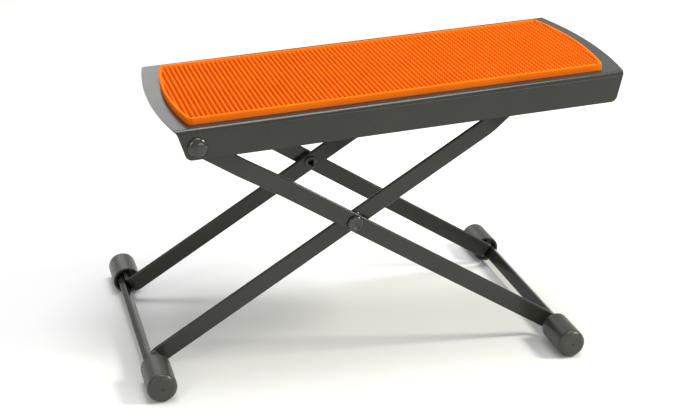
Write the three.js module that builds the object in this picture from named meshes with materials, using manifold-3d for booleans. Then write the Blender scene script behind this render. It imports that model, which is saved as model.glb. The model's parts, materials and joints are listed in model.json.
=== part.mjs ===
// Folding guitar footrest: a pressed steel platform with a ribbed rubber mat, carried by two flat-bar
// frames that cross like scissors and stand on four rubber feet.
//
// Millimetres, +Z up. X runs along the platform, Y across it, and the front of the stool faces -Y.
// Platform axes: u along the platform, y across it, w up from its top face, all turned by PLATFORM_TILT.
// Leg axes: x from a leg's upper pivot towards its foot, y across the stool, z across the bar's width.

import * as THREE from 'three';
import { mergeVertices } from 'three/addons/utils/BufferGeometryUtils.js';
import Module from 'manifold-3d';

const wasm = await Module();
wasm.setup();

// Driving dimensions
const PLATFORM_LENGTH = 267; // corner to corner; the curved ends bulge past it
const PLATFORM_WIDTH = 128;
const PLATFORM_HEIGHT = 164.3; // floor to the middle of the top face
const PLATFORM_TILT = THREE.MathUtils.degToRad(4.4);
const END_BULGE = 6.25;
const SHEET = 1.5;
const BEND_RADIUS = 3;
const FLANGE_DEPTH = 17.9;
const FLANGE_END_SLANT = 4.8;
const FLANGE_CORNER_RADIUS = 3;
const PLATFORM_CORNER_RADIUS = 3;

const MAT_LENGTH = 248;
const MAT_WIDTH = 103;
const MAT_THICKNESS = 4;
const MAT_END_BULGE = 5.2;
const MAT_CORNER_RADIUS = 3;
const MAT_SHIFT_U = -1;
const MAT_SHIFT_Y = -5; // the mat is glued on nearer the front edge

const PIVOT_U = -122.4;
const PIVOT_W = -10.6;
const ROD_W = -13.5; // height rod below the top face
const OUTER_LEG_ANGLE = THREE.MathUtils.degToRad(35.27); // from the platform down to the leg
const INNER_LEG_ANGLE = THREE.MathUtils.degToRad(29.0); // from the platform down to the leg
const PIVOT_TO_CROSSING = 110.1; // along the outer leg
const CROSSING_TO_OUTER_FOOT = 154.0;
const CROSSING_TO_INNER_FOOT = 143.6;

const BAR_WIDTH = 11;
const BAR_THICKNESS = 2.5;
const OUTER_LEG_PIVOT_Y = 59.85; // mid-thickness, where the outer leg lies against the flange
const OUTER_LEG_Y = 54.75;
const INNER_LEG_Y = 50.55;
const INNER_LEG_ROD_Y = 45.55; // mid-thickness, where the inner leg steps in beside the rack
const OUTER_JOG_START = 30; // along the leg from its pivot
const OUTER_JOG_END = 62;
const INNER_JOG_START = 10; // along the leg from the height rod
const INNER_JOG_END = 27;
const JOG_RADIUS = 25;
const TAB_BEND_RADIUS = 4;
const TAB_END_Y = 84;

const CROSSBAR_WIDTH = 8;
const CROSSBAR_THICKNESS = 4;
const TAB_OFFSET = -1.65; // tab's middle from the foot's axis, along the leg
const CROSSBAR_OFFSET = 2.6;
const CROSSBAR_RIVET_RADIUS = 1.6;
const CROSSBAR_RIVET_Y = 75;

const FOOT_RADIUS = 8.8;
const FOOT_MOUTH_Y = 61;
const FOOT_END_Y = 88.2;
const FOOT_EDGE_RADIUS = 3;
const FOOT_MOUTH_RADIUS = 7.2;
const FOOT_MOUTH_DEPTH = 5;

const ROD_RADIUS = 4;
const ROD_TIP_RADIUS = 3;
const ROD_END_Y = 61;
const ROD_CHAMFER = 0.6;

const PIVOT_SHANK = 3.4; // shank radii and head radii of the turning rivets
const PIVOT_HEAD_RADIUS = 5.8;
const PIVOT_HEAD_HEIGHT = 2.7;
const CROSSING_SHANK = 3;
const CROSSING_HEAD_RADIUS = 4.8;
const CROSSING_HEAD_HEIGHT = 1.7;
const HEAD_RIM = 0.25; // share of a domed head's height that is its straight rim
const TAIL_ROLL_WIDTH = 0.95; // how far a hollow tail is rolled out past its shank
const TAIL_ROLL_HEIGHT = 1.3;
const TAIL_WALL = 0.9;
const TAIL_BORE_DEPTH = 5;

const RACK_START_U = 47;
const RACK_END_U = 106;
const RACK_Y = 58.5; // mid-thickness of the upright web
const RACK_THICKNESS = 2;
const RACK_TIP_W = -9.5;
const RACK_FOOT_Y = 50; // inner edge of the foot that is welded under the top sheet
const NOTCH_PITCH = 11.5;
const NOTCHES = 5;
const NOTCH_DEPTH = 4.2;

const GAP = 0.3; // between touching pieces
const SHEET_CLEARANCE = 0.05; // keeps the side cut just off the top sheet's lower face
const CURVE_STEPS = 16;
const ROUND_SEGMENTS = 32;
const EDGE_STEPS = 5; // on a quarter-round edge or dome
const BEND_STEP = 0.2; // radians between the points of a bend
const MERGE_TOLERANCE = 1e-4;

const STEEL = { color: 0x4b4c46, roughness: 0.45, metalness: 0.5 };
const RIVET_STEEL = { color: 0x3a3a38, roughness: 0.3, metalness: 0.7 };
const RUBBER = { color: 0x55564f, roughness: 0.7, metalness: 0 };
const ORANGE_RUBBER = { color: 0xf0641a, roughness: 0.6, metalness: 0 };

// ---- solids ----

function toSolid(geometry) {
  const bare = geometry.index ? geometry.clone() : geometry;
  bare.deleteAttribute('normal');
  bare.deleteAttribute('uv');
  const merged = mergeVertices(bare, MERGE_TOLERANCE);
  return new wasm.Manifold(new wasm.Mesh({
    numProp: 3,
    vertProperties: new Float32Array(merged.attributes.position.array),
    triVerts: new Uint32Array(merged.index.array),
  }));
}

function toGeometry(solid) {
  const mesh = solid.getMesh();
  const geometry = new THREE.BufferGeometry();
  geometry.setAttribute('position', new THREE.BufferAttribute(new Float32Array(mesh.vertProperties), 3));
  geometry.setIndex(new THREE.BufferAttribute(new Uint32Array(mesh.triVerts), 1));
  geometry.computeVertexNormals();
  return geometry;
}

function cut(solid, tools) {
  return tools.reduce((rest, tool) => rest.subtract(tool), solid);
}

// A closed shape drawn in X and Y, pushed from z = low to z = high.
function slab(shape, low, high) {
  const geometry = new THREE.ExtrudeGeometry(shape, {
    depth: high - low,
    bevelEnabled: false,
    curveSegments: CURVE_STEPS,
  });
  return geometry.translate(0, 0, low);
}

// A closed shape drawn in X and Z, pushed from y = low to y = high.
function upright(shape, low, high) {
  return slab(shape, -high, -low).rotateX(Math.PI / 2);
}

// A closed shape drawn in Y and Z, pushed from x = low to x = high.
function profile(shape, low, high) {
  return slab(shape, low, high).rotateY(Math.PI / 2).rotateX(Math.PI / 2);
}

// A turned piece about a line along Y; points are [radius, y], from axis to axis or round a closed loop.
function turned(points, side) {
  const outline = points.map(([radius, y]) => new THREE.Vector2(radius, y));
  const geometry = new THREE.LatheGeometry(outline, ROUND_SEGMENTS);
  return side > 0 ? geometry : geometry.rotateX(Math.PI);
}

// A hole along Y, from the middle of the stool out past one side.
function crossHole(x, radius, side) {
  const hole = new THREE.CylinderGeometry(radius, radius, PLATFORM_WIDTH, ROUND_SEGMENTS);
  return toSolid(hole.translate(x, side * PLATFORM_WIDTH / 2, 0));
}

function piece(name, geometry, look) {
  const mesh = new THREE.Mesh(geometry, new THREE.MeshStandardMaterial(look));
  mesh.name = name;
  return mesh;
}

// ---- outlines ----

// A strip with bulging ends, its corners rounded off.
function bulgedOutline(length, width, bulge, cornerRadius) {
  const halfLength = length / 2;
  const halfWidth = width / 2;
  const radius = (halfWidth ** 2 + bulge ** 2) / (2 * bulge);
  const centre = halfLength + bulge - radius;
  const sweep = Math.asin((halfWidth - cornerRadius) / radius);
  const cornerX = centre + radius * Math.cos(sweep);
  const shape = new THREE.Shape();
  shape.moveTo(cornerRadius - halfLength, -halfWidth);
  shape.lineTo(halfLength - cornerRadius, -halfWidth);
  shape.quadraticCurveTo(halfLength, -halfWidth, cornerX, cornerRadius - halfWidth);
  shape.absarc(centre, 0, radius, -sweep, sweep, false);
  shape.quadraticCurveTo(halfLength, halfWidth, halfLength - cornerRadius, halfWidth);
  shape.lineTo(cornerRadius - halfLength, halfWidth);
  shape.quadraticCurveTo(-halfLength, halfWidth, -cornerX, halfWidth - cornerRadius);
  shape.absarc(-centre, 0, radius, Math.PI - sweep, Math.PI + sweep, false);
  shape.quadraticCurveTo(-halfLength, -halfWidth, cornerRadius - halfLength, -halfWidth);
  return shape;
}

// A line through the corners, each corner rounded by an arc of the given radius.
function roundedRoute(corners, radii) {
  const points = [corners[0]];
  for (let i = 1; i < corners.length - 1; i += 1) {
    const here = corners[i];
    const before = corners[i - 1].clone().sub(here).normalize();
    const after = corners[i + 1].clone().sub(here).normalize();
    const half = Math.acos(THREE.MathUtils.clamp(before.dot(after), -1, 1)) / 2;
    const bisector = before.clone().add(after).normalize();
    const centre = here.clone().addScaledVector(bisector, radii[i - 1] / Math.sin(half));
    const start = here.clone().addScaledVector(before, radii[i - 1] / Math.tan(half)).sub(centre);
    const turn = Math.sign(before.cross(after)) * (Math.PI - 2 * half);
    const steps = Math.max(3, Math.ceil(Math.abs(turn) / BEND_STEP));
    for (let k = 0; k <= steps; k += 1) {
      points.push(start.clone().rotateAround(new THREE.Vector2(), -turn * k / steps).add(centre));
    }
  }
  points.push(corners[corners.length - 1]);
  return points;
}

// The outline of a bar of the given thickness bent along a route.
function bentBarOutline(route, thickness) {
  const sides = [[], []];
  route.forEach((point, i) => {
    const along = route[Math.min(i + 1, route.length - 1)].clone().sub(route[Math.max(i - 1, 0)]).normalize();
    const across = new THREE.Vector2(-along.y, along.x).multiplyScalar(thickness / 2);
    sides[0].push(point.clone().add(across));
    sides[1].unshift(point.clone().sub(across));
  });
  return new THREE.Shape(sides.flat());
}

// ---- platform ----

// Top sheet and both flanges seen from the end, as one bent strip.
function channelOutline() {
  const y = (PLATFORM_WIDTH - SHEET) / 2;
  const top = -SHEET / 2;
  const corners = [
    new THREE.Vector2(-y, -FLANGE_DEPTH),
    new THREE.Vector2(-y, top),
    new THREE.Vector2(y, top),
    new THREE.Vector2(y, -FLANGE_DEPTH),
  ];
  const radius = BEND_RADIUS - SHEET / 2;
  return bentBarOutline(roundedRoute(corners, [radius, radius]), SHEET);
}

// Seen from the side: the flange ends slant in towards rounded lower corners, and the top sheet runs on.
function platformSideOutline() {
  const reach = PLATFORM_LENGTH / 2;
  const past = reach + 2 * END_BULGE;
  const sheetBottom = -SHEET - SHEET_CLEARANCE;
  const slope = FLANGE_END_SLANT / (FLANGE_DEPTH + sheetBottom);
  const radius = FLANGE_CORNER_RADIUS;
  const foot = reach - FLANGE_END_SLANT;
  const shape = new THREE.Shape();
  shape.moveTo(-past, 1);
  shape.lineTo(-past, sheetBottom);
  shape.lineTo(-reach, sheetBottom);
  shape.lineTo(-foot - slope * radius, radius - FLANGE_DEPTH);
  shape.quadraticCurveTo(-foot, -FLANGE_DEPTH, radius - foot, -FLANGE_DEPTH);
  shape.lineTo(foot - radius, -FLANGE_DEPTH);
  shape.quadraticCurveTo(foot, -FLANGE_DEPTH, foot + slope * radius, radius - FLANGE_DEPTH);
  shape.lineTo(reach, sheetBottom);
  shape.lineTo(past, sheetBottom);
  shape.lineTo(past, 1);
  return shape;
}

function topPlate() {
  const past = PLATFORM_LENGTH / 2 + 2 * END_BULGE;
  const channel = toSolid(profile(channelOutline(), -past, past));
  const seenFromAbove = bulgedOutline(PLATFORM_LENGTH, PLATFORM_WIDTH, END_BULGE, PLATFORM_CORNER_RADIUS);
  const blank = channel
    .intersect(toSolid(slab(seenFromAbove, -2 * FLANGE_DEPTH, FLANGE_DEPTH)))
    .intersect(toSolid(upright(platformSideOutline(), -PLATFORM_WIDTH, PLATFORM_WIDTH)));
  const holes = [-1, 1].map((side) => crossHole(PIVOT_U, PIVOT_SHANK + GAP, side).translate([0, 0, PIVOT_W]));
  return toGeometry(cut(blank, holes));
}

function rubberMat() {
  const outline = bulgedOutline(MAT_LENGTH, MAT_WIDTH, MAT_END_BULGE, MAT_CORNER_RADIUS);
  return slab(outline, GAP, GAP + MAT_THICKNESS).translate(MAT_SHIFT_U, MAT_SHIFT_Y, 0);
}

// The upright web of a rack seen from the side, with round notches open at the bottom.
function rackWebOutline() {
  const middle = rodU();
  const top = -SHEET - GAP;
  const radius = ROD_TIP_RADIUS + 2 * GAP;
  const straight = NOTCH_DEPTH - radius;
  const shape = new THREE.Shape();
  shape.moveTo(RACK_START_U, top);
  shape.lineTo(RACK_START_U, RACK_TIP_W);
  for (let i = 0; i < NOTCHES; i += 1) {
    const u = middle + (i - (NOTCHES - 1) / 2) * NOTCH_PITCH;
    shape.lineTo(u - radius, RACK_TIP_W);
    shape.lineTo(u - radius, RACK_TIP_W + straight);
    shape.absarc(u, RACK_TIP_W + straight, radius, Math.PI, 0, true);
    shape.lineTo(u + radius, RACK_TIP_W);
  }
  shape.lineTo(RACK_END_U, RACK_TIP_W);
  shape.lineTo(RACK_END_U, top);
  return shape;
}

// An angle strip: a notched web hanging from a foot that is welded under the top sheet.
function rack(side) {
  const near = side * (RACK_Y - RACK_THICKNESS / 2);
  const far = side * (RACK_Y + RACK_THICKNESS / 2);
  const outer = side * RACK_FOOT_Y;
  const web = upright(rackWebOutline(), Math.min(near, far), Math.max(near, far));
  const foot = new THREE.Shape();
  const top = -SHEET - GAP;
  foot.moveTo(RACK_START_U, top - RACK_THICKNESS);
  foot.lineTo(RACK_END_U, top - RACK_THICKNESS);
  foot.lineTo(RACK_END_U, top);
  foot.lineTo(RACK_START_U, top);
  const strip = upright(foot, Math.min(near, outer), Math.max(near, outer));
  return toGeometry(toSolid(web).add(toSolid(strip)));
}

// ---- pivots ----

// A tubular rivet: a domed head outside, a plain shank, and a hollow tail rolled over inside.
function tubularRivet(side, headY, headRadius, headHeight, shank, tailY) {
  const dome = [];
  for (let i = 1; i <= EDGE_STEPS + 1; i += 1) {
    const turn = (i / (EDGE_STEPS + 1)) * Math.PI / 2;
    const rise = HEAD_RIM + (1 - HEAD_RIM) * Math.cos(turn);
    dome.push([headRadius * Math.sin(turn), headY + headHeight * rise]);
  }
  const bore = shank - TAIL_WALL;
  const boreEnd = tailY + TAIL_BORE_DEPTH;
  const points = [
    [0, headY + headHeight],
    ...dome,
    [headRadius, headY],
    [shank, headY],
    [shank, tailY],
    [shank + TAIL_ROLL_WIDTH, tailY - 0.15 * TAIL_ROLL_HEIGHT],
    [shank + TAIL_ROLL_WIDTH, tailY - 0.6 * TAIL_ROLL_HEIGHT],
    [shank, tailY - TAIL_ROLL_HEIGHT],
    [bore, tailY - 0.7 * TAIL_ROLL_HEIGHT],
    [bore, boreEnd],
    [0, boreEnd],
  ];
  return turned(points.reverse(), side);
}

function washer(side, radius, hole, low, high) {
  return turned([[hole, low], [radius, low], [radius, high], [hole, high], [hole, low]], side);
}

// ---- legs, crossbars and feet ----

// A side view that is round at the upper end and square at the lower one.
function barSilhouette(start, end) {
  const half = BAR_WIDTH / 2;
  const shape = new THREE.Shape();
  shape.moveTo(end, -half);
  shape.lineTo(end, half);
  shape.lineTo(start, half);
  shape.absarc(start, 0, half, Math.PI / 2, 3 * Math.PI / 2, false);
  return shape;
}

// corners: [x, mid-thickness y] along the bar, the last one where its lower end turns out as a tab.
function leg(side, corners, holes) {
  const start = corners[0][0];
  const end = corners[corners.length - 1][0];
  const line = [
    [start - BAR_WIDTH, corners[0][1]],
    ...corners.slice(1),
    [end, TAB_END_Y],
  ].map(([x, y]) => new THREE.Vector2(x, side * y));
  const route = roundedRoute(line, [JOG_RADIUS, JOG_RADIUS, TAB_BEND_RADIUS]);
  const bar = toSolid(slab(bentBarOutline(route, BAR_THICKNESS), -BAR_WIDTH / 2, BAR_WIDTH / 2));
  const round = toSolid(upright(barSilhouette(start, end + BAR_WIDTH), -PLATFORM_WIDTH, PLATFORM_WIDTH));
  return cut(bar.intersect(round), holes.map(([x, radius]) => crossHole(x, radius, side)));
}

// A hole for a crossbar rivet, along the leg's x.
function rivetHole(x, side) {
  const radius = CROSSBAR_RIVET_RADIUS + GAP;
  const hole = new THREE.CylinderGeometry(radius, radius, 3 * BAR_WIDTH, ROUND_SEGMENTS);
  return toSolid(hole.rotateZ(Math.PI / 2).translate(x, side * CROSSBAR_RIVET_Y, 0));
}

function crossbar(footX) {
  const bar = new THREE.BoxGeometry(CROSSBAR_THICKNESS, 2 * TAB_END_Y, CROSSBAR_WIDTH);
  const solid = toSolid(bar.translate(footX + CROSSBAR_OFFSET, 0, 0));
  return toGeometry(cut(solid, [-1, 1].map((side) => rivetHole(footX, side))));
}

// A flush rivet through a leg's tab and the crossbar, inside the foot.
function crossbarRivet(footX, side) {
  const radius = CROSSBAR_RIVET_RADIUS;
  const low = footX + TAB_OFFSET - BAR_THICKNESS / 2;
  const high = footX + CROSSBAR_OFFSET + CROSSBAR_THICKNESS / 2;
  const shank = new THREE.CylinderGeometry(radius, radius, high - low, ROUND_SEGMENTS / 2);
  return shank.rotateZ(Math.PI / 2).translate((low + high) / 2, side * CROSSBAR_RIVET_Y, 0);
}

// A cup turned about the foot's axis, with a rounded outer edge and an open mouth.
function footCup(footX, side) {
  const points = [[0, FOOT_END_Y]];
  for (let i = 0; i <= EDGE_STEPS; i += 1) {
    const turn = (i / EDGE_STEPS) * Math.PI / 2;
    points.push([
      FOOT_RADIUS - FOOT_EDGE_RADIUS * (1 - Math.sin(turn)),
      FOOT_END_Y - FOOT_EDGE_RADIUS * (1 - Math.cos(turn)),
    ]);
  }
  const floorY = FOOT_MOUTH_Y + FOOT_MOUTH_DEPTH;
  points.push([FOOT_RADIUS, FOOT_MOUTH_Y], [FOOT_MOUTH_RADIUS, FOOT_MOUTH_Y]);
  points.push([FOOT_MOUTH_RADIUS, floorY], [0, floorY]);
  return toSolid(turned(points.reverse(), side).translate(footX, 0, 0));
}

// Room inside a foot for a bar whose middle lies offset from the foot's axis.
function footSlot(footX, side, offset, thickness, width) {
  const start = FOOT_MOUTH_Y + FOOT_MOUTH_DEPTH / 2;
  const end = TAB_END_Y + GAP;
  const box = new THREE.BoxGeometry(thickness, end - start, width);
  return toSolid(box.translate(footX + offset, side * (start + end) / 2, 0));
}

// A rubber cap whose slots grip the tab and the crossbar.
function foot(footX, side) {
  const between = (TAB_OFFSET + CROSSBAR_OFFSET) / 2;
  const slots = [
    footSlot(footX, side, TAB_OFFSET, BAR_THICKNESS + 2 * GAP, BAR_WIDTH + 2 * GAP),
    footSlot(footX, side, CROSSBAR_OFFSET, CROSSBAR_THICKNESS + 2 * GAP, CROSSBAR_WIDTH + 2 * GAP),
    footSlot(footX, side, between, CROSSBAR_OFFSET - TAB_OFFSET, CROSSBAR_WIDTH),
  ];
  return toGeometry(cut(footCup(footX, side), slots));
}

// The round rod that drops into the racks: full size between the legs, thinner through them.
function heightRod(x) {
  const shoulder = INNER_LEG_ROD_Y - BAR_THICKNESS / 2 - GAP;
  const points = [
    [0, -ROD_END_Y],
    [ROD_TIP_RADIUS - ROD_CHAMFER, -ROD_END_Y],
    [ROD_TIP_RADIUS, ROD_CHAMFER - ROD_END_Y],
    [ROD_TIP_RADIUS, -shoulder],
    [ROD_RADIUS, -shoulder],
    [ROD_RADIUS, shoulder],
    [ROD_TIP_RADIUS, shoulder],
    [ROD_TIP_RADIUS, ROD_END_Y - ROD_CHAMFER],
    [ROD_TIP_RADIUS - ROD_CHAMFER, ROD_END_Y],
    [0, ROD_END_Y],
  ];
  return turned(points, 1).translate(x, 0, 0);
}

// ---- linkage ----

// Along the inner leg from the crossing up to the rod, so that the rod lies ROD_W under the top face.
function crossingToRod() {
  const crossingW = PIVOT_W - PIVOT_TO_CROSSING * Math.sin(OUTER_LEG_ANGLE);
  return (ROD_W - crossingW) / Math.sin(INNER_LEG_ANGLE);
}

function rodU() {
  const crossingU = PIVOT_U + PIVOT_TO_CROSSING * Math.cos(OUTER_LEG_ANGLE);
  return crossingU + crossingToRod() * Math.cos(INNER_LEG_ANGLE);
}

function nameBySide(base, side) {
  return `${base}_${side < 0 ? 'front' : 'back'}`;
}

function platform() {
  const group = new THREE.Group();
  group.add(piece('top_plate', topPlate(), STEEL));
  group.add(piece('rubber_mat', rubberMat(), ORANGE_RUBBER));
  for (const side of [-1, 1]) {
    group.add(piece(nameBySide('rack', side), rack(side), STEEL));
  }
  return group;
}

function pivots() {
  const group = new THREE.Group();
  group.position.set(PIVOT_U, 0, PIVOT_W);
  const legFace = OUTER_LEG_PIVOT_Y + BAR_THICKNESS / 2;
  const flangeFace = PLATFORM_WIDTH / 2 - SHEET;
  const tail = OUTER_LEG_PIVOT_Y - BAR_THICKNESS / 2 - GAP;
  for (const side of [-1, 1]) {
    const head = PLATFORM_WIDTH / 2 + GAP;
    const rivet = tubularRivet(side, head, PIVOT_HEAD_RADIUS, PIVOT_HEAD_HEIGHT, PIVOT_SHANK, tail);
    const ring = washer(side, PIVOT_HEAD_RADIUS, PIVOT_SHANK + GAP, legFace + GAP, flangeFace - GAP);
    group.add(piece(nameBySide('pivot_rivet', side), rivet, RIVET_STEEL));
    group.add(piece(nameBySide('pivot_washer', side), ring, RIVET_STEEL));
  }
  return group;
}

// A leg with its foot and the rivet that holds the crossbar to its tab.
function legPieces(kind, side, footX, corners, holes) {
  const tab = [footX + TAB_OFFSET, corners[corners.length - 1][1]];
  const bar = leg(side, [...corners, tab], holes).subtract(rivetHole(footX, side));
  return [
    piece(nameBySide(`${kind}_leg`, side), toGeometry(bar), STEEL),
    piece(nameBySide(`${kind}_foot`, side), foot(footX, side), RUBBER),
    piece(nameBySide(`${kind}_crossbar_rivet`, side), crossbarRivet(footX, side), RIVET_STEEL),
  ];
}

// The rivet that joins an outer leg to an inner one, and the washer between them.
function crossingPieces(side) {
  const head = OUTER_LEG_Y + BAR_THICKNESS / 2 + GAP;
  const tail = INNER_LEG_Y - BAR_THICKNESS / 2 - GAP;
  const low = INNER_LEG_Y + BAR_THICKNESS / 2 + GAP;
  const high = OUTER_LEG_Y - BAR_THICKNESS / 2 - GAP;
  const rivet = tubularRivet(side, head, CROSSING_HEAD_RADIUS, CROSSING_HEAD_HEIGHT, CROSSING_SHANK, tail);
  const ring = washer(side, BAR_WIDTH / 2 + GAP, CROSSING_SHANK + GAP, low, high);
  return [
    piece(nameBySide('crossing_rivet', side), rivet.translate(PIVOT_TO_CROSSING, 0, 0), RIVET_STEEL),
    piece(nameBySide('crossing_washer', side), ring.translate(PIVOT_TO_CROSSING, 0, 0), RIVET_STEEL),
  ];
}

function innerFrame() {
  const group = new THREE.Group();
  const footX = CROSSING_TO_INNER_FOOT;
  const rodX = -crossingToRod();
  const corners = [
    [rodX, INNER_LEG_ROD_Y],
    [rodX + INNER_JOG_START, INNER_LEG_ROD_Y],
    [rodX + INNER_JOG_END, INNER_LEG_Y],
  ];
  const holes = [[rodX, ROD_TIP_RADIUS + GAP], [0, CROSSING_SHANK + GAP]];
  for (const side of [-1, 1]) {
    group.add(...legPieces('inner', side, footX, corners, holes));
  }
  group.add(piece('inner_crossbar', crossbar(footX), STEEL));
  group.add(piece('height_rod', heightRod(rodX), STEEL));
  return group;
}

function outerFrame() {
  const group = new THREE.Group();
  const footX = PIVOT_TO_CROSSING + CROSSING_TO_OUTER_FOOT;
  const corners = [
    [0, OUTER_LEG_PIVOT_Y],
    [OUTER_JOG_START, OUTER_LEG_PIVOT_Y],
    [OUTER_JOG_END, OUTER_LEG_Y],
  ];
  const holes = [[0, PIVOT_SHANK + GAP], [PIVOT_TO_CROSSING, CROSSING_SHANK + GAP]];
  for (const side of [-1, 1]) {
    group.add(...legPieces('outer', side, footX, corners, holes));
    group.add(...crossingPieces(side));
  }
  group.add(piece('outer_crossbar', crossbar(footX), STEEL));
  return group;
}

function footrest() {
  const outer = outerFrame();
  outer.position.set(PIVOT_U, 0, PIVOT_W);
  outer.rotation.y = OUTER_LEG_ANGLE;
  const inner = innerFrame();
  inner.position.set(PIVOT_TO_CROSSING, 0, 0);
  inner.rotation.y = Math.PI - INNER_LEG_ANGLE - OUTER_LEG_ANGLE;
  outer.add(inner);
  const tilted = new THREE.Group();
  tilted.add(platform(), pivots(), outer);
  tilted.rotation.y = -PLATFORM_TILT;
  tilted.position.set(0, 0, PLATFORM_HEIGHT);
  const stool = new THREE.Group();
  stool.add(tilted);
  stool.updateMatrixWorld(true);
  return stool;
}

// The origin is under the middle of the whole stool, on the floor.
const stool = footrest();
const bounds = new THREE.Box3().setFromObject(stool, true);
const middle = bounds.getCenter(new THREE.Vector3());
stool.position.set(-middle.x, -middle.y, -bounds.min.z);

export default stool;
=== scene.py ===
"""Folding guitar footrest: detailed pieces, materials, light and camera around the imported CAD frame.

Pieces are drawn in millimetres in one of three local frames, and their meshes are placed in metres:
  platform   u along the platform, y across it, w up from the top face
  outer leg  x from the platform pivot to the foot, y across, z across the bar's width
  inner leg  x from the crossing to the foot, y across, z across the bar's width
"""

import json
import math

import bmesh
import bpy
import numpy as np
from mathutils import Matrix, Vector


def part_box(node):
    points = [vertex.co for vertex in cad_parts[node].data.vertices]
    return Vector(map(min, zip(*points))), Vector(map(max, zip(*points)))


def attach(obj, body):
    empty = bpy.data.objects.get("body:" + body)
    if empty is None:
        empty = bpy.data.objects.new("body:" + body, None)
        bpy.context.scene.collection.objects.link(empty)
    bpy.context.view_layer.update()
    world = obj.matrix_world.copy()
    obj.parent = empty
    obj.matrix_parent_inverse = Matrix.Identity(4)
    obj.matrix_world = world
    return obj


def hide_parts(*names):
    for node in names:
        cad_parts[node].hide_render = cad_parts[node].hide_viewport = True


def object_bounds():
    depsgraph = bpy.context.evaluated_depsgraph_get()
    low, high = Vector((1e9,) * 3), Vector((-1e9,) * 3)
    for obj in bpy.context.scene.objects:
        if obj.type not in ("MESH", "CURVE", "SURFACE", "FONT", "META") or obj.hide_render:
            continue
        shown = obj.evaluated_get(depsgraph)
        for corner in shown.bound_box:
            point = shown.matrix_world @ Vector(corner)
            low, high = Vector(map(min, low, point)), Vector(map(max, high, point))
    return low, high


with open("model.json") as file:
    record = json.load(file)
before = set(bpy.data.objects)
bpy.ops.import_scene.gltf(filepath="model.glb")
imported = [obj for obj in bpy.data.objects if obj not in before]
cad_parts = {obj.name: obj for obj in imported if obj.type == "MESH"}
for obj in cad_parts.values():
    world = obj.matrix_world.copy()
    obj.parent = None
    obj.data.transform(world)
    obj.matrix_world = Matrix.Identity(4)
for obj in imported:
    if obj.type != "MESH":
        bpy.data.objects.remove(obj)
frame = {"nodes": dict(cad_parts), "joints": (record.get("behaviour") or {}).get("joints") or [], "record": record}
CAD_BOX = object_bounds()
MM = 0.001

# ---- dimensions of the visible pieces, in millimetres ----

SHEET = 1.5
PLATE_BEND = 3.0
PLATE_DEPTH = 17.9
PLATE_END_SLANT = 4.8
PLATE_FOOT_RADIUS = 3.0
PLATE_EDGE = 0.3
END_BULGE = 6.25

MAT_THICKNESS = 4.0
MAT_LIFT = 0.08
MAT_RIM = 1.7
MAT_EDGE_RADIUS = 0.55
MAT_FLOOR = 1.9
MAT_END_BULGE = 5.2
MAT_CORNER = 2.6
MAT_EDGE_STEPS = [0.0, 0.04, 0.16, 0.34, 0.55, 1.0, 1.4]
MAT_STEP_ACROSS = 0.62
MAT_STEP_ALONG = 0.42
RIB_PITCH = 2.86
NUB_PITCH = 3.9

BAR_WIDTH = 11.0
BAR_THICKNESS = 2.5
BAR_EDGE = 1.1
JOG_RADIUS = 25.0
TAB_BEND = 4.0
TAB_END = 84.0
TAB_OFFSET = -1.65
CROSSBAR = (4.0, 8.0)
CROSSBAR_EDGE = 0.8
CROSSBAR_OFFSET = 2.6

FOOT_RADIUS = 8.8
FOOT_MOUTH = 61.0
FOOT_END = 88.2
FOOT_EDGE = 3.2
CUP_RADIUS = 7.3
CUP_DEPTH = 5.0
TAB_SLOT = (1.45, 5.8)
BAR_SLOT = (4.9, 4.3)

OUTER_LEG_Y = (59.85, 54.75)
OUTER_JOG = (30.0, 62.0)
INNER_LEG_Y = (45.55, 50.55)
INNER_JOG = (10, 27)

RACK_HALF_SHEET = 1.0
RACK_BEND = 1.6
NOTCHES = 5
NOTCH_PITCH = 11.5
NOTCH_RADIUS = 3.6
NOTCH_STRAIGHT = 0.6

PIVOT_HOLE = 3.7
PIVOT_SHANK = 3.4
PIVOT_HEAD_RADIUS = 5.8
CROSSING_HOLE = 3.3
CROSSING_SHANK = 3.0
CROSSING_HEAD_RADIUS = 4.8
CROSSING_HEAD_HEIGHT = 1.8
WASHER_RADIUS = 5.8
SHANK_WALL = 0.9
TAIL_ROLL = 1.3
CROSSBAR_RIVET_Y = 75.0
CROSSBAR_RIVET_RADIUS = 1.6
CROSSBAR_RIVET_NOSE = 1.3
CROSSBAR_RIVET_CHAMFER = 0.3
ROD_PIN_RADIUS = 3.0
ROD_RADIUS = 4.0
ROD_SHOULDER_Y = 44.0

# Camera, from the fit to the photograph: metres and degrees.
CAMERA_SHIFT_X = -0.00546
CAMERA_TARGET_Z = 0.07265
CAMERA_DISTANCE = 0.9058
CAMERA_AZIMUTH = -16.57
CAMERA_ELEVATION = 22.25
CAMERA_ROLL = 1.94
CAMERA_LENS = 74.14


# ---- local frames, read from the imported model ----

def joint(name):
    return next(j for j in frame["joints"] if j["name"] == name)


def middle(node):
    low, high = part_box(node)
    return (low + high) / 2


def local_frame(origin, direction):
    """x along direction, y across the stool, z square to both; millimetres in, metres out."""
    x = Vector((direction.x, 0, direction.z)).normalized()
    y = Vector((0, 1, 0))
    z = x.cross(y)
    rotation = Matrix((x, y, z)).transposed().to_4x4()
    return Matrix.Translation((origin.x, 0, origin.z)) @ rotation @ Matrix.Scale(MM, 4)


def distance_mm(a, b):
    return math.hypot(a.x - b.x, a.z - b.z) / MM


def platform_frame():
    normal = Vector(frame["record"]["mounts"][0]["axis"])
    along = Vector((normal.z, 0, -normal.x))
    points = np.array([v.co for v in frame["nodes"]["top_plate"].data.vertices])
    u = points @ np.array(along)
    w = points @ np.array(normal)
    origin = along * float((u.min() + u.max()) / 2) + normal * float(w.max())
    return local_frame(origin, along), float(u.max() - u.min()) / MM


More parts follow.
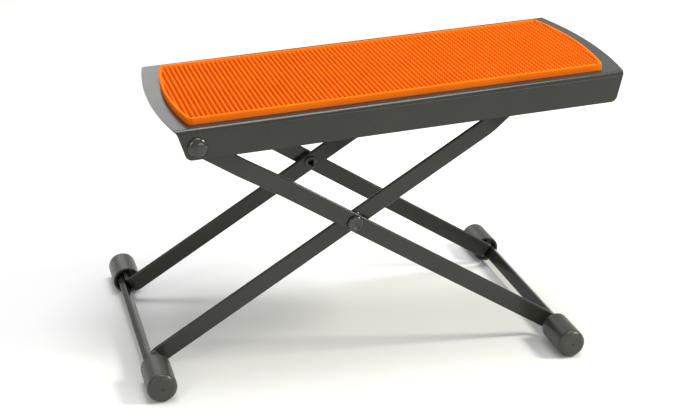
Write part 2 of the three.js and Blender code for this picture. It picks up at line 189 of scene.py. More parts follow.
PIVOT = Vector(joint("fold")["pos_m"])
CROSSING = Vector(joint("scissor")["pos_m"])
OUTER_FOOT = middle("outer_foot_front")
INNER_FOOT = middle("inner_foot_front")
ROD = middle("height_rod")

PLATFORM, PLATE_LENGTH = platform_frame()
OUTER = local_frame(PIVOT, OUTER_FOOT - PIVOT)
INNER = local_frame(CROSSING, INNER_FOOT - CROSSING)
OUTER_FOOT_X = distance_mm(PIVOT, OUTER_FOOT)
CROSSING_X = distance_mm(PIVOT, CROSSING)
INNER_FOOT_X = distance_mm(CROSSING, INNER_FOOT)
ROD_X = -distance_mm(CROSSING, ROD)

PLATE_REACH = PLATE_LENGTH / 2 - END_BULGE
PLATE_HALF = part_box("top_plate")[1].y / MM


# ---- mesh helpers ----

def shade(obj, angle=32):
    """Smooth faces, creases left sharp, flat faces kept flat beside rounded edges."""
    mesh = obj.data
    mesh.shade_smooth()
    mesh.set_sharp_from_angle(angle=math.radians(angle))
    modifier = obj.modifiers.new("weighted", "WEIGHTED_NORMAL")
    modifier.keep_sharp = True
    return obj


def build(name, verts, faces, matrix):
    mesh = bpy.data.meshes.new(name)
    mesh.from_pydata([tuple(v) for v in verts], [], faces)
    bm = bmesh.new()
    bm.from_mesh(mesh)
    bmesh.ops.remove_doubles(bm, verts=bm.verts, dist=1e-5)
    bmesh.ops.recalc_face_normals(bm, faces=bm.faces)
    bm.to_mesh(mesh)
    bm.free()
    mesh.transform(matrix)
    obj = bpy.data.objects.new(name, mesh)
    bpy.context.scene.collection.objects.link(obj)
    return obj


def apply_modifiers(obj):
    graph = bpy.context.evaluated_depsgraph_get()
    mesh = bpy.data.meshes.new_from_object(obj.evaluated_get(graph))
    obj.modifiers.clear()
    obj.data = mesh
    return obj


def bevel(obj, width, segments=3, angle=35):
    modifier = obj.modifiers.new("bevel", "BEVEL")
    modifier.width = width * MM
    modifier.segments = segments
    modifier.limit_method = "ANGLE"
    modifier.angle_limit = math.radians(angle)
    modifier.harden_normals = False
    return apply_modifiers(obj)


def cut(obj, *cutters):
    for cutter in cutters:
        modifier = obj.modifiers.new("cut", "BOOLEAN")
        modifier.operation = "DIFFERENCE"
        modifier.solver = "EXACT"
        modifier.object = cutter
    bpy.context.view_layer.update()
    apply_modifiers(obj)
    for cutter in cutters:
        bpy.data.objects.remove(cutter)
    return obj


def turned(name, profile, matrix, x=0.0, z=0.0, side=1, segments=48):
    """A piece turned about a line along Y; profile is [(radius, y), ...], from axis to axis or a loop."""
    verts, rings = [], []
    for radius, y in profile:
        if radius < 1e-6:
            rings.append([len(verts)])
            verts.append((x, side * y, z))
            continue
        rings.append(list(range(len(verts), len(verts) + segments)))
        for k in range(segments):
            turn = 2 * math.pi * k / segments
            verts.append((x + radius * math.cos(turn), side * y, z + radius * math.sin(turn)))
    pairs = list(zip(rings, rings[1:]))
    if profile[0][0] > 1e-6:
        pairs.append((rings[-1], rings[0]))
    faces = []
    for a, b in pairs:
        for k in range(segments):
            n = (k + 1) % segments
            quad = [a[k % len(a)], a[n % len(a)], b[n % len(b)], b[k % len(b)]]
            face = list(dict.fromkeys(quad))
            if len(face) > 2:
                faces.append(face)
    return build(name, verts, faces, matrix)


def arc(centre, radius, start, end, steps):
    """Points [(x, y), ...] round centre, angles in degrees."""
    points = []
    for i in range(steps + 1):
        turn = math.radians(start + (end - start) * i / steps)
        points.append((centre[0] + radius * math.cos(turn), centre[1] + radius * math.sin(turn)))
    return points


def rounded_route(corners, radii, step=5):
    """A 2D line through corners, each inner corner rounded by its radius."""
    points = [Vector(corners[0])]
    for i in range(1, len(corners) - 1):
        here = Vector(corners[i])
        before = (Vector(corners[i - 1]) - here).normalized()
        after = (Vector(corners[i + 1]) - here).normalized()
        half = math.acos(max(-1, min(1, before.dot(after)))) / 2
        centre = here + (before + after).normalized() * radii[i - 1] / math.sin(half)
        start = here + before * radii[i - 1] / math.tan(half) - centre
        turn = -math.copysign(math.pi - 2 * half, before.x * after.y - before.y * after.x)
        count = max(4, math.ceil(abs(math.degrees(turn)) / step))
        for k in range(count + 1):
            spin = Matrix.Rotation(turn * k / count, 2)
            points.append(centre + spin @ start)
    points.append(Vector(corners[-1]))
    return points


def bar_section(half_thickness, half_width, edge, steps=4):
    """A rounded rectangle: [(across the thickness, across the width), ...]."""
    edge = min(edge, half_width * 0.95, half_thickness * 0.95)
    points = []
    for sx, sz, start in ((1, 1, 0), (-1, 1, 90), (-1, -1, 180), (1, -1, 270)):
        centre = (sx * (half_thickness - edge), sz * (half_width - edge))
        points += arc(centre, edge, start, start + 90, steps)
    return points


def swept(name, stations, thickness, edge, matrix):
    """A flat bar along stations [(point (x, y), half width), ...], its long edges rounded."""
    verts = []
    points = [s[0] for s in stations]
    for i, (point, half_width) in enumerate(stations):
        along = (points[min(i + 1, len(points) - 1)] - points[max(i - 1, 0)]).normalized()
        across = Vector((-along.y, along.x))
        for t, z in bar_section(thickness / 2, half_width, edge):
            p = point + across * t
            verts.append((p.x, p.y, z))
    count = len(verts) // len(stations)
    faces = []
    for i in range(len(stations) - 1):
        for k in range(count):
            n = (k + 1) % count
            a, b = i * count, (i + 1) * count
            faces.append([a + k, a + n, b + n, b + k])
    faces.append(list(range(count)))
    faces.append(list(range(len(verts) - count, len(verts))))
    return build(name, verts, faces, matrix)


def across(side, near, far):
    """The two y values of a stretch on one side of the stool, low one first."""
    return sorted((side * near, side * far))


def drill(matrix, x, z, radius, low, high):
    profile = [(0, low), (radius, low), (radius, high), (0, high)]
    return turned("cutter", profile, matrix, x, z, segments=40)


def box_cutter(matrix, low, high):
    verts = [(x, y, z) for x in (low[0], high[0]) for y in (low[1], high[1]) for z in (low[2], high[2])]
    faces = [(0, 1, 3, 2), (4, 6, 7, 5), (0, 4, 5, 1), (2, 3, 7, 6), (0, 2, 6, 4), (1, 5, 7, 3)]
    return build("cutter", verts, faces, matrix)


# ---- materials ----

def base_material(name):
    material = bpy.data.materials.new(name)
    material.use_nodes = True
    tree = material.node_tree
    shader = tree.nodes["Principled BSDF"]
    coords = tree.nodes.new("ShaderNodeTexCoord")
    return material, tree, shader, coords.outputs["Object"]


def noise(tree, coords, scale, detail=3.0, rough=0.5, stretch=None):
    node = tree.nodes.new("ShaderNodeTexNoise")
    node.inputs["Scale"].default_value = scale
    node.inputs["Detail"].default_value = detail
    node.inputs["Roughness"].default_value = rough
    source = coords
    if stretch:
        mapping = tree.nodes.new("ShaderNodeMapping")
        mapping.inputs["Scale"].default_value = stretch
        tree.links.new(coords, mapping.inputs["Vector"])
        source = mapping.outputs["Vector"]
    tree.links.new(source, node.inputs["Vector"])
    return node.outputs["Fac"]


def ramp(tree, value, stops):
    """A colour ramp; stops are [(position, (r, g, b)), ...]."""
    node = tree.nodes.new("ShaderNodeValToRGB")
    elements = node.color_ramp.elements
    while len(elements) < len(stops):
        elements.new(0.5)
    for element, (position, colour) in zip(elements, stops):
        element.position = position
        element.color = (*colour, 1)
    tree.links.new(value, node.inputs["Fac"])
    return node.outputs["Color"]


def spread(tree, value, low, high):
    node = tree.nodes.new("ShaderNodeMapRange")
    node.inputs["From Min"].default_value = 0.3
    node.inputs["From Max"].default_value = 0.7
    node.inputs["To Min"].default_value = low
    node.inputs["To Max"].default_value = high
    tree.links.new(value, node.inputs["Value"])
    return node.outputs["Result"]


def mix(tree, a, b, factor):
    node = tree.nodes.new("ShaderNodeMix")
    node.data_type = "RGBA"
    tree.links.new(factor, node.inputs["Factor"])
    tree.links.new(a, node.inputs["A"])
    tree.links.new(b, node.inputs["B"])
    return node.outputs["Result"]


def bumps(tree, shader, layers):
    """Stacks bump layers [(height, depth in metres), ...] onto the shader."""
    normal = None
    for height, depth in layers:
        node = tree.nodes.new("ShaderNodeBump")
        node.inputs["Strength"].default_value = 1.0
        node.inputs["Distance"].default_value = depth
        tree.links.new(height, node.inputs["Height"])
        if normal is not None:
            tree.links.new(normal, node.inputs["Normal"])
        normal = node.outputs["Normal"]
    tree.links.new(normal, shader.inputs["Normal"])


def powder_coat(name, dark, light, rough):
    material, tree, shader, coords = base_material(name)
    cloud = noise(tree, coords, 28, 4)
    fleck = noise(tree, coords, 2600, 2, 0.6)
    tone = ramp(tree, cloud, [(0.3, dark), (0.7, light)])
    darker = tuple(c * 0.82 for c in dark)
    lighter = tuple(c * 1.12 for c in light)
    speck = ramp(tree, fleck, [(0.35, darker), (0.65, lighter)])
    blend = tree.nodes.new("ShaderNodeMix")
    blend.data_type = "RGBA"
    blend.inputs["Factor"].default_value = 0.35
    tree.links.new(tone, blend.inputs["A"])
    tree.links.new(speck, blend.inputs["B"])
    tree.links.new(blend.outputs["Result"], shader.inputs["Base Color"])
    sheen = spread(tree, noise(tree, coords, 60, 3), rough - 0.03, rough + 0.04)
    tree.links.new(sheen, shader.inputs["Roughness"])
    shader.inputs["Metallic"].default_value = 0.0
    shader.inputs["Specular IOR Level"].default_value = 0.34
    peel = noise(tree, coords, 900, 2, 0.4)
    grain = noise(tree, coords, 3800, 1, 0.5)
    bumps(tree, shader, [(peel, 0.00004), (grain, 0.000012)])
    return material


def rivet_finish(name):
    material, tree, shader, coords = base_material(name)
    cloud = noise(tree, coords, 300, 4)
    colour = ramp(tree, cloud, [(0.3, (0.013, 0.014, 0.012)), (0.7, (0.020, 0.021, 0.018))])
    tree.links.new(colour, shader.inputs["Base Color"])
    tree.links.new(spread(tree, noise(tree, coords, 700, 3), 0.16, 0.24), shader.inputs["Roughness"])
    shader.inputs["Metallic"].default_value = 0.0
    shader.inputs["Coat Weight"].default_value = 0.25
    shader.inputs["Coat Roughness"].default_value = 0.12
    bumps(tree, shader, [(noise(tree, coords, 500, 3), 0.00005)])
    return material


def drawn_steel(name):
    material, tree, shader, coords = base_material(name)
    streaks = noise(tree, coords, 900, 3, 0.6, (1, 0.03, 1))
    colour = ramp(tree, streaks, [(0.3, (0.26, 0.26, 0.25)), (0.7, (0.42, 0.42, 0.40))])
    tree.links.new(colour, shader.inputs["Base Color"])
    tree.links.new(spread(tree, streaks, 0.28, 0.42), shader.inputs["Roughness"])
    shader.inputs["Metallic"].default_value = 1.0
    bumps(tree, shader, [(streaks, 0.00002)])
    return material


def cap_rubber(name):
    material, tree, shader, coords = base_material(name)
    cloud = noise(tree, coords, 120, 4)
    colour = ramp(tree, cloud, [(0.3, (0.026, 0.028, 0.022)), (0.7, (0.037, 0.039, 0.032))])
    tree.links.new(colour, shader.inputs["Base Color"])
    tree.links.new(spread(tree, noise(tree, coords, 400, 3), 0.3, 0.4), shader.inputs["Roughness"])
    shader.inputs["Specular IOR Level"].default_value = 0.45
    bumps(tree, shader, [(noise(tree, coords, 1400, 2), 0.00005), (noise(tree, coords, 260, 2), 0.00008)])
    return material


def mat_rubber(name):
    material, tree, shader, coords = base_material(name)
    cloud = noise(tree, coords, 45, 3)
    face = ramp(tree, cloud, [(0.3, (0.73, 0.134, 0.004)), (0.7, (0.79, 0.149, 0.005))])
    # painted shade: a darker orange laid into the grooves between ribs and nubs, where shade falls; the raised
    # faces keep the mat's own orange
    painted_groove_shade = ramp(tree, cloud, [(0.3, (0.42, 0.046, 0.001)), (0.7, (0.48, 0.054, 0.001))])
    tread = tree.nodes.new("ShaderNodeAttribute")
    tread.attribute_name = "tread"
    groove_shade_fade = tree.nodes.new("ShaderNodeMapRange")
    groove_shade_fade.inputs["From Min"].default_value = 0.1
    groove_shade_fade.inputs["From Max"].default_value = 0.75
    tree.links.new(tread.outputs["Fac"], groove_shade_fade.inputs["Value"])
    tree.links.new(mix(tree, painted_groove_shade, face, groove_shade_fade.outputs["Result"]), shader.inputs["Base Color"])
    tree.links.new(spread(tree, noise(tree, coords, 500, 3), 0.45, 0.6), shader.inputs["Roughness"])
    shader.inputs["Specular IOR Level"].default_value = 0.02
    bumps(tree, shader, [(noise(tree, coords, 1800, 2), 0.00003)])
    return material


COAT = powder_coat("charcoal_powder_coat", (0.0198, 0.0210, 0.0174), (0.0275, 0.0290, 0.0244), 0.19)
RIVETS = rivet_finish("dark_rivet_steel")
STEEL = drawn_steel("drawn_rod_steel")
CAPS = cap_rubber("cap_rubber")
MAT = mat_rubber("orange_mat_rubber")
FINISH = {
    "coated_steel": COAT,
    "rivet_steel": RIVETS,
    "rod_steel": STEEL,
    "foot_rubber": CAPS,
    "mat_rubber": MAT,
}


def fit(obj, body, slot, *nodes):
    """Finishes a piece: its material, its body and the CAD nodes it stands for."""
    obj.data.materials.clear()
    obj.data.materials.append(FINISH[slot])
    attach(obj, body)
    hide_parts(*nodes)
    return obj


def side_name(base, side):
    return f"{base}_{'front' if side < 0 else 'back'}"


def platform_points(node):
    """The points of a CAD node in the platform frame, in millimetres."""
    points = np.array([v.co for v in frame["nodes"][node].data.vertices])
    inverse = np.array(PLATFORM.inverted())
    return points @ inverse[:3, :3].T + inverse[:3, 3]


# ---- platform ----

def end_reach(y, reach, half, bulge):
    """How far a bulging end comes out at y."""
    radius = (half * half + bulge * bulge) / (2 * bulge)
    return reach + bulge - radius + math.sqrt(max(0.0, radius * radius - y * y))


def flange_reach(w):
    """How far the flange comes out at depth w below the top face: a slant and a rounded foot."""
    slope = PLATE_END_SLANT / PLATE_DEPTH
    reach = PLATE_REACH + w * slope
    up = PLATE_DEPTH + w
    if up < PLATE_FOOT_RADIUS:
        reach -= PLATE_FOOT_RADIUS - math.sqrt(
            max(0.0, PLATE_FOOT_RADIUS ** 2 - (PLATE_FOOT_RADIUS - up) ** 2))
    return reach


def plate_stations():
    """Across the sheet from the front flange's foot to the back one's: outer point, inner point, reach."""
    half, bend = PLATE_HALF, PLATE_BEND
    inner = bend - SHEET
    rows = []
    foot = [PLATE_FOOT_RADIUS * (1 - math.cos(math.radians(a))) for a in (0, 12, 24, 36, 48, 60, 72, 84, 90)]
    depths = [-PLATE_DEPTH + f for f in foot] + [-12.5, -9.0, -6.0, -bend]
    for w in depths:
        rows.append(((-half, w), (-half + SHEET, w), flange_reach(w)))
    for i in range(1, 10):
        turn = math.radians(90 * i / 10)
        centre = (-half + bend, -bend)
        outer = (centre[0] - bend * math.cos(turn), centre[1] + bend * math.sin(turn))
        inside = (centre[0] - inner * math.cos(turn), centre[1] + inner * math.sin(turn))
        blend = i / 10
        end = end_reach(outer[0], PLATE_REACH, half, END_BULGE)
        reach = flange_reach(outer[1]) * (1 - blend) + end * blend
        rows.append((outer, inside, reach))
    steps = 40
    flat = half - bend
    for i in range(steps + 1):
        y = -flat + 2 * flat * i / steps
        rows.append(((y, 0.0), (y, -SHEET), end_reach(y, PLATE_REACH, half, END_BULGE)))
    mirrored = [((-o[0], o[1]), (-n[0], n[1]), r) for o, n, r in rows[:len(depths) + 9]]
    return rows + mirrored[::-1]


def top_plate():
    columns = [-1 + 2 * i / 24 for i in range(25)]
    rows = plate_stations()
    verts = []
    for skin in (0, 1):
        for row in rows:
            y, w = row[skin]
            verts += [(t * row[2], y, w) for t in columns]
    wide = len(columns)
    base = len(rows) * wide

    def at(skin, row, column):
        return skin * base + row * wide + column

    faces = []
    for r in range(len(rows) - 1):
        for c in range(wide - 1):
            faces.append([at(0, r, c), at(0, r, c + 1), at(0, r + 1, c + 1), at(0, r + 1, c)])
            faces.append([at(1, r, c), at(1, r + 1, c), at(1, r + 1, c + 1), at(1, r, c + 1)])
        for c in (0, wide - 1):
            faces.append([at(0, r, c), at(0, r + 1, c), at(1, r + 1, c), at(1, r, c)])
    for r in (0, len(rows) - 1):
        for c in range(wide - 1):
            faces.append([at(0, r, c), at(0, r, c + 1), at(1, r, c + 1), at(1, r, c)])
    plate = build("pressed_platform", verts, faces, PLATFORM)
    local = PLATFORM.inverted() @ PIVOT
    holes = [drill(PLATFORM, local.x, local.z, PIVOT_HOLE, *across(s, 55.0, 70.0)) for s in (-1, 1)]
    cut(plate, *holes)
    bevel(plate, PLATE_EDGE, 2, 50)
    shade(plate, 40)
    return fit(plate, "platform", "coated_steel", "top_plate")


def rib_height(x, y):
    """The moulded tread: ribs across the mat, each with a row of nubs."""
    rib = 0.5 + 0.5 * math.cos(2 * math.pi * x / RIB_PITCH)
    nub = 0.5 + 0.5 * math.cos(2 * math.pi * y / NUB_PITCH)
    return rib ** 0.75 * (0.2 + 0.8 * nub ** 0.75)


def mat_height(x, y, inset):
    """Height of the mat's top over its underside; inset is the distance in from the outline."""
    if inset < MAT_EDGE_RADIUS:
        fall = MAT_EDGE_RADIUS - inset
        return MAT_THICKNESS - MAT_EDGE_RADIUS + math.sqrt(MAT_EDGE_RADIUS ** 2 - fall ** 2)
    tread = MAT_FLOOR + (MAT_THICKNESS - 0.1 - MAT_FLOOR) * rib_height(x, y)
    blend = min(1.0, max(0.0, (inset - MAT_RIM + 0.3) / 0.6))
    blend = blend * blend * (3 - 2 * blend)
    return MAT_THICKNESS * (1 - blend) + tread * blend


def mark_tread(mat):
    """How high each point stands over the grooves, 0 to 1; the material paints shade into the low points by it."""
    local = np.array([PLATFORM.inverted() @ v.co for v in mat.data.vertices])
    height = (local[:, 2] - MAT_LIFT - MAT_FLOOR) / (MAT_THICKNESS - MAT_FLOOR)
    height[local[:, 2] < MAT_LIFT + 0.01] = 0.8
    attribute = mat.data.attributes.new("tread", "FLOAT", "POINT")
    attribute.data.foreach_set("value", np.clip(height, 0, 1).astype(np.float32))


def mat_reach(y, half, reach):
    """How far the mat comes out at y, with its bulging ends and rounded corners."""
    out = end_reach(y, reach, half, MAT_END_BULGE)
    past = abs(y) - (half - MAT_CORNER)
    if past > 0:
        out -= MAT_CORNER - math.sqrt(max(0.0, MAT_CORNER ** 2 - past ** 2))
    return out


def mat_rows(half, reach):
    """Rows of points over the mat's top, closer together round its rim."""
    inner = half - MAT_RIM
    rows = int(round(2 * inner / MAT_STEP_ACROSS))
    ys = [-half + e for e in MAT_EDGE_STEPS]
    ys += [-inner + 2 * inner * i / rows for i in range(rows + 1)]
    ys += [half - e for e in reversed(MAT_EDGE_STEPS)]
    columns = int(round(2 * (reach + MAT_END_BULGE - MAT_RIM) / MAT_STEP_ALONG))
    grid = []
    for y in ys:
        out = mat_reach(y, half, reach)
        xs = [-(out - e) for e in MAT_EDGE_STEPS]
        xs += [(out - MAT_RIM) * (-1 + 2 * k / columns) for k in range(columns + 1)]
        xs += [out - e for e in reversed(MAT_EDGE_STEPS)]
        row = []
        for x in xs:
            inset = min(half - abs(y), out - abs(x))
            row.append((x, y, MAT_LIFT + mat_height(x, y, inset)))
        grid.append(row)
    return grid


def grid_faces(wide, tall):
    faces = []
    for r in range(tall - 1):
        for c in range(wide - 1):
            a = r * wide + c
            faces.append([a, a + 1, a + wide + 1, a + wide])
    return faces


def grid_rim(wide, tall):
    """The border of a grid of points, once round."""
    rim = list(range(wide)) + [r * wide + wide - 1 for r in range(1, tall)]
    rim += [(tall - 1) * wide + c for c in range(wide - 2, -1, -1)]
    rim += [r * wide for r in range(tall - 2, 0, -1)]
    return rim


def rubber_mat():
    low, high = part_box("rubber_mat")
    half = (high.y - low.y) / 2 / MM
    centre_y = (high.y + low.y) / 2 / MM
    along = platform_points("rubber_mat")[:, 0]
    centre_u = float(along.min() + along.max()) / 2
    reach = float(along.max() - along.min()) / 2 - MAT_END_BULGE
    grid = mat_rows(half, reach)
    wide, tall = len(grid[0]), len(grid)
    verts = [(x + centre_u, y + centre_y, z) for row in grid for x, y, z in row]
    faces = grid_faces(wide, tall)
    rim = grid_rim(wide, tall)
    start = len(verts)
    verts += [(verts[v][0], verts[v][1], MAT_LIFT) for v in rim]
    count = len(rim)
    for k in range(count):
        n = (k + 1) % count
        faces.append([rim[k], rim[n], start + n, start + k])
    faces.append([start + k for k in range(count)][::-1])
    mat = build("ribbed_rubber_mat", verts, faces, PLATFORM)
    mark_tread(mat)
    mat.data.shade_smooth()
    mat.data.set_sharp_from_angle(angle=math.radians(60))
    return fit(mat, "platform", "mat_rubber", "rubber_mat")


def rack(side):
    """A notched angle strip under the platform."""
    node = side_name("rack", side)
    local = platform_points(node)
    start, end = float(local[:, 0].min()), float(local[:, 0].max())
    tip, top = float(local[:, 2].min()), float(local[:, 2].max())
    near = float(np.abs(local[:, 1]).min())
    web = float(np.abs(local[:, 1]).max()) - RACK_HALF_SHEET
    level = top - RACK_HALF_SHEET
    line = rounded_route([(near, level), (web, level), (web, tip)], [RACK_BEND])
    verts = []
    for x in (start, end):
        for sign in (1, -1):
            strip = []
            for i, p in enumerate(line):
                along = (line[min(i + 1, len(line) - 1)] - line[max(i - 1, 0)]).normalized()
                q = p + Vector((-along.y, along.x)) * sign * RACK_HALF_SHEET
                strip.append((x, side * q.x, q.y))
            verts += strip if sign > 0 else strip[::-1]
    n = 2 * len(line)
    faces = [list(range(n)), list(range(n, 2 * n))]
    faces += [[k, (k + 1) % n, n + (k + 1) % n, n + k] for k in range(n)]
    strip = build(node + "_angle", verts, faces, PLATFORM)
    rod_u = (PLATFORM.inverted() @ ROD).x
    ys = across(side, web - 3, web + 3)
    mouth = tip + NOTCH_STRAIGHT
    cutters = []
    for i in range(NOTCHES):
        u = rod_u + (i - NOTCHES // 2) * NOTCH_PITCH
        cutters.append(drill(PLATFORM, u, mouth, NOTCH_RADIUS, *ys))
        corners = (u - NOTCH_RADIUS, ys[0], tip - 2), (u + NOTCH_RADIUS, ys[1], mouth)
        cutters.append(box_cutter(PLATFORM, *corners))
    cut(strip, *cutters)
    bevel(strip, 0.22, 2, 45)
    shade(strip, 40)
    return fit(strip, "platform", "coated_steel", node)


# ---- rivets, washers and the height rod ----

def dome(radius, base, height, crown=0.1):
    """A rivet head's profile from its apex down to its rim."""
    points = [(0.0, base + height)]
    for i in range(1, 11):
        turn = math.radians(90 * i / 10)
        points.append((radius * math.sin(turn), base + height * (crown + (1 - crown) * math.cos(turn))))
    points.append((radius, base + height * crown * 0.5))
    points.append((radius - 0.15, base))
    return points


def dished(radius, base, height):
    """A rolled head with a sunk middle and a small centre dimple, from its middle down to its rim."""
    top = base + height
    points = [(0.0, top - 0.95), (0.5, top - 0.9), (0.8, top - 0.55), (1.5, top - 0.6), (2.2, top - 0.35)]
    points += arc((radius - 1.15, top - 1.15), 1.15, 112, 0, 9)
    points.append((radius - 0.1, base))
    return points


def rivet(name, matrix, x, z, side, head, shank, tail_y):
    """A tubular rivet: a head profile, its shank and the rolled end of the tail."""
    bore = shank - SHANK_WALL
    head_y = head[-1][1]
    points = list(head)
    points += [(shank, head_y), (shank, tail_y)]
    points += [(p[0], p[1]) for p in arc((shank + 0.35, tail_y - 0.62), 0.6, 60, -150, 8)]
    points += [(bore, tail_y - 0.75), (bore, tail_y + 5.0), (0.0, tail_y + 5.6)]
    return turned(name, points, matrix, x, z, side)


def washer(name, matrix, x, z, side, inner, outer, low, high):
    e = 0.15
    points = [
        (inner, low + e), (inner + e, low), (outer - e, low), (outer, low + e),
        (outer, high - e), (outer - e, high), (inner + e, high), (inner, high - e),
    ]
    return turned(name, points, matrix, x, z, side)


def span(node):
    low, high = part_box(node)
    return sorted((abs(low.y) / MM, abs(high.y) / MM))


def rivets_and_washers():
    pivot = PLATFORM.inverted() @ PIVOT
    for side in (-1, 1):
        node = side_name("pivot_rivet", side)
        low, high = span(node)
        head = dome(PIVOT_HEAD_RADIUS, PLATE_HALF + 0.1, high - PLATE_HALF - 0.1)
        tail = low + TAIL_ROLL
        piece = rivet(node + "_domed", PLATFORM, pivot.x, pivot.z, side, head, PIVOT_SHANK, tail)
        fit(shade(piece), "pivots", "rivet_steel", node)
        node = side_name("pivot_washer", side)
        rings = (PIVOT_HOLE, WASHER_RADIUS, *span(node))
        piece = washer(node + "_turned", PLATFORM, pivot.x, pivot.z, side, *rings)
        fit(shade(piece), "pivots", "rivet_steel", node)
        node = side_name("crossing_rivet", side)
        low, high = span(node)
        head = dished(CROSSING_HEAD_RADIUS, high - CROSSING_HEAD_HEIGHT, CROSSING_HEAD_HEIGHT)
        tail = low + TAIL_ROLL
        piece = rivet(node + "_rolled", OUTER, CROSSING_X, 0, side, head, CROSSING_SHANK, tail)
        fit(shade(piece), "outer_frame", "rivet_steel", node)
        node = side_name("crossing_washer", side)
        rings = (CROSSING_HOLE, WASHER_RADIUS, *span(node))
        piece = washer(node + "_turned", OUTER, CROSSING_X, 0, side, *rings)
        fit(shade(piece), "outer_frame", "rivet_steel", node)


def crossbar_rivets():
    radius, nose, chamfer = CROSSBAR_RIVET_RADIUS, CROSSBAR_RIVET_NOSE, CROSSBAR_RIVET_CHAMFER
    for body, matrix, foot_x in (("outer_frame", OUTER, OUTER_FOOT_X), ("inner_frame", INNER, INNER_FOOT_X)):
        kind = body.split("_")[0]
        low = foot_x + TAB_OFFSET - BAR_THICKNESS / 2
        high = foot_x + CROSSBAR_OFFSET + CROSSBAR[0] / 2
        profile = [(0, low), (nose, low), (radius, low + chamfer)]
        profile += [(radius, high - chamfer), (nose, high), (0, high)]
        for side in (-1, 1):
            node = side_name(kind + "_crossbar_rivet", side)
            place = Matrix.Translation((0, side * CROSSBAR_RIVET_Y, 0))
            turn = place @ Matrix.Rotation(math.radians(-90), 4, "Z")
            piece = turned(node + "_flush", profile, matrix @ turn, segments=32)
            fit(shade(piece), body, "rivet_steel", node)


def height_rod():
    end = span("height_rod")[1]
    pin, rod_radius, shoulder = ROD_PIN_RADIUS, ROD_RADIUS, ROD_SHOULDER_Y
    half = [(0.0, end), (pin - 0.7, end), (pin - 0.25, end - 0.15), (pin, end - 0.6), (pin, shoulder)]
    half += [(rod_radius - 0.4, shoulder), (rod_radius - 0.15, shoulder - 0.1), (rod_radius, shoulder - 0.4)]
    profile = half + [(r, -y) for r, y in half[::-1]]
    rod = turned("height_rod_turned", profile, INNER, ROD_X, 0, 1, 56)
    return fit(shade(rod), "inner_frame", "rod_steel", "height_rod")


# ---- legs, crossbars and feet ----

def leg(body, base, matrix, side, foot_x, corners, holes):
    """A flat bar: round upper end, a jog, and a lower end turned out as a tab."""
    start = corners[0][0]
    half = BAR_WIDTH / 2
    tab_x = foot_x + TAB_OFFSET
    line = [(start, corners[0][1]), *corners[1:], (tab_x, corners[-1][1]), (tab_x, TAB_END)]
    route = rounded_route([(x, side * y) for x, y in line], [JOG_RADIUS] * (len(corners) - 1) + [TAB_BEND])
    stations = []
    for degrees in (4, 9, 16, 25, 35, 46, 58, 70, 80):
        turn = math.radians(degrees)
        point = Vector((start - half * math.cos(turn), side * corners[0][1]))
        stations.append((point, half * math.sin(turn)))
    stations += [(p, half) for p in route]
    stations.append((Vector((tab_x, side * (TAB_END + 0.3))), half - 0.4))
    node = side_name(base, side)
    bar = swept(node + "_bar", stations, BAR_THICKNESS, BAR_EDGE, matrix)
    cutters = []
    for x, radius in holes:
        cutters.append(drill(matrix, x, 0, radius, *across(side, 40.0, 66.0)))
    cut(bar, *cutters)
    shade(bar, 38)
    return fit(bar, body, "coated_steel", node)


def crossbar(body, node, matrix, foot_x):
    taper = 0.4
    ys = (-TAB_END, -TAB_END + taper, -60, -30, 0, 30, 60, TAB_END - taper, TAB_END)
    points = [Vector((foot_x + CROSSBAR_OFFSET, y)) for y in ys]
    widths = [CROSSBAR[1] / 2 - (taper if abs(y) == TAB_END else 0) for y in ys]
    bar = swept(node + "_bar", list(zip(points, widths)), CROSSBAR[0], CROSSBAR_EDGE, matrix)
    shade(bar, 38)
    return fit(bar, body, "coated_steel", node)


def foot_cap(body, node, matrix, foot_x, side):
    """A moulded cup with a rounded end and a slotted floor that grips the bars."""
    mouth, floor = CUP_RADIUS, FOOT_MOUTH + CUP_DEPTH
    radius, end = FOOT_RADIUS, FOOT_END
    profile = [(0.0, end - 0.5), (0.75, end - 0.5), (1.05, end - 0.05), (5.1, end - 0.05), (5.4, end)]
    profile += [(r, y) for r, y in arc((radius - FOOT_EDGE, end - FOOT_EDGE), FOOT_EDGE, 90, 0, 10)]
    profile += [(radius, FOOT_MOUTH + 0.45)]
    profile += [(r, y) for r, y in arc((radius - 0.45, FOOT_MOUTH + 0.45), 0.45, 0, -90, 4)][1:]
    profile += [(mouth + 0.3, FOOT_MOUTH), (mouth, FOOT_MOUTH + 0.3)]
    profile += [(mouth, floor - 0.5), (mouth - 0.5, floor), (0.0, floor)]
    cap = turned(node + "_cap", profile, matrix, foot_x, 0, side, 64)
    tab_slot = (TAB_OFFSET - TAB_SLOT[0], TAB_OFFSET + TAB_SLOT[0], TAB_SLOT[1])
    bar_slot = (TAB_OFFSET, *BAR_SLOT)
    ys = across(side, floor - 2, TAB_END + 0.5)
    slots = []
    for low, high, half in (tab_slot, bar_slot):
        slots.append(box_cutter(matrix, (foot_x + low, ys[0], -half), (foot_x + high, ys[1], half)))
    cut(cap, *slots)
    shade(cap, 35)
    return fit(cap, body, "foot_rubber", node)


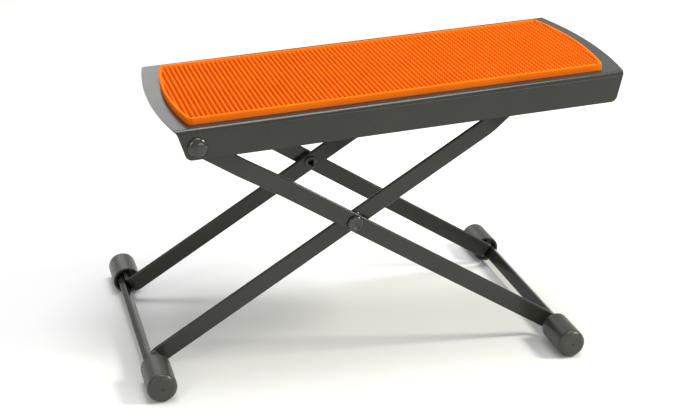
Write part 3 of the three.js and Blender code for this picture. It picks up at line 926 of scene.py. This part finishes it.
def leg_frames():
    upper, lower = OUTER_LEG_Y
    outer_corners = [(0.0, upper), (OUTER_JOG[0], upper), (OUTER_JOG[1], lower)]
    upper, lower = INNER_LEG_Y
    inner_corners = [(ROD_X, upper), (ROD_X + INNER_JOG[0], upper), (ROD_X + INNER_JOG[1], lower)]
    outer_holes = [(0.0, PIVOT_HOLE), (CROSSING_X, CROSSING_HOLE)]
    inner_holes = [(ROD_X, CROSSING_HOLE), (0.0, CROSSING_HOLE)]
    for side in (-1, 1):
        leg("outer_frame", "outer_leg", OUTER, side, OUTER_FOOT_X, outer_corners, outer_holes)
        leg("inner_frame", "inner_leg", INNER, side, INNER_FOOT_X, inner_corners, inner_holes)
        foot_cap("outer_frame", side_name("outer_foot", side), OUTER, OUTER_FOOT_X, side)
        foot_cap("inner_frame", side_name("inner_foot", side), INNER, INNER_FOOT_X, side)
    crossbar("outer_frame", "outer_crossbar", OUTER, OUTER_FOOT_X)
    crossbar("inner_frame", "inner_crossbar", INNER, INNER_FOOT_X)


# ---- stage, light and camera ----

def floor():
    bpy.ops.mesh.primitive_plane_add(size=14, location=(0, 0, 0))
    plane = bpy.context.object
    plane.name = "studio_floor"
    material, tree, shader, coords = base_material("studio_floor")
    tone = ramp(tree, noise(tree, coords, 2, 2), [(0.3, (0.70, 0.70, 0.71)), (0.7, (0.72, 0.72, 0.73))])
    tree.links.new(tone, shader.inputs["Base Color"])
    shader.inputs["Roughness"].default_value = 0.9
    shader.inputs["Specular IOR Level"].default_value = 0.1
    plane.data.materials.append(material)


def area_light(name, location, target, size, power, colour=(1, 1, 1)):
    data = bpy.data.lights.new(name, "AREA")
    data.shape = "RECTANGLE"
    data.size, data.size_y = size
    data.energy = power
    data.color = colour
    lamp = bpy.data.objects.new(name, data)
    lamp.location = location
    lamp.rotation_mode = "QUATERNION"
    lamp.rotation_quaternion = (Vector(target) - Vector(location)).to_track_quat("-Z", "Y")
    bpy.context.scene.collection.objects.link(lamp)
    return lamp


def studio_light():
    world = bpy.data.worlds.new("studio")
    bpy.context.scene.world = world
    world.use_nodes = True
    background = world.node_tree.nodes["Background"]
    background.inputs["Color"].default_value = (1.0, 1.0, 1.0, 1)
    background.inputs["Strength"].default_value = 0.62
    area_light("overhead", (0.1, 0.2, 1.45), (0, 0, 0.05), (0.8, 0.8), 17)
    area_light("front_strip", (0.95, -2.0, 0.5), (0.1, 0, 0.15), (1.4, 0.45), 7, (1, 1, 0.86))
    area_light("right_box", (1.0, -0.33, 0.95), (0, 0, 0.12), (0.28, 0.28), 15, (1, 1, 0.84))
    area_light("left_strip", (-1.05, -0.95, 0.66), (0, 0, 0.1), (0.22, 0.7), 4, (1, 1, 0.78))
    area_light("back_card", (-0.25, 2.2, 0.95), (0, 0, 0.15), (1.0, 0.9), 3.8)


def camera():
    centre = (CAD_BOX[0] + CAD_BOX[1]) / 2
    target = Vector((centre.x + CAMERA_SHIFT_X, 0, CAMERA_TARGET_Z))
    azimuth, elevation, roll = map(math.radians, (CAMERA_AZIMUTH, CAMERA_ELEVATION, CAMERA_ROLL))
    level = math.cos(elevation)
    back = Vector((math.sin(azimuth) * level, -math.cos(azimuth) * level, math.sin(elevation)))
    right = (-back).cross(Vector((0, 0, 1))).normalized()
    up = right.cross(-back)
    turned_right = right * math.cos(roll) + up * math.sin(roll)
    turned_up = up * math.cos(roll) - right * math.sin(roll)
    data = bpy.data.cameras.new("camera")
    data.sensor_width = 36
    data.lens = CAMERA_LENS
    data.clip_start, data.clip_end = 0.01, 50
    cam = bpy.data.objects.new("camera", data)
    position = target + back * CAMERA_DISTANCE
    rotation = Matrix((turned_right, turned_up, back)).transposed().to_4x4()
    cam.matrix_world = Matrix.Translation(position) @ rotation
    bpy.context.scene.collection.objects.link(cam)
    bpy.context.scene.camera = cam


top_plate()
rubber_mat()
for s in (-1, 1):
    rack(s)
rivets_and_washers()
crossbar_rivets()
height_rod()
leg_frames()
floor()
studio_light()
camera()
bpy.context.scene.view_settings.view_transform = "Standard"
bpy.context.scene.view_settings.look = "None"
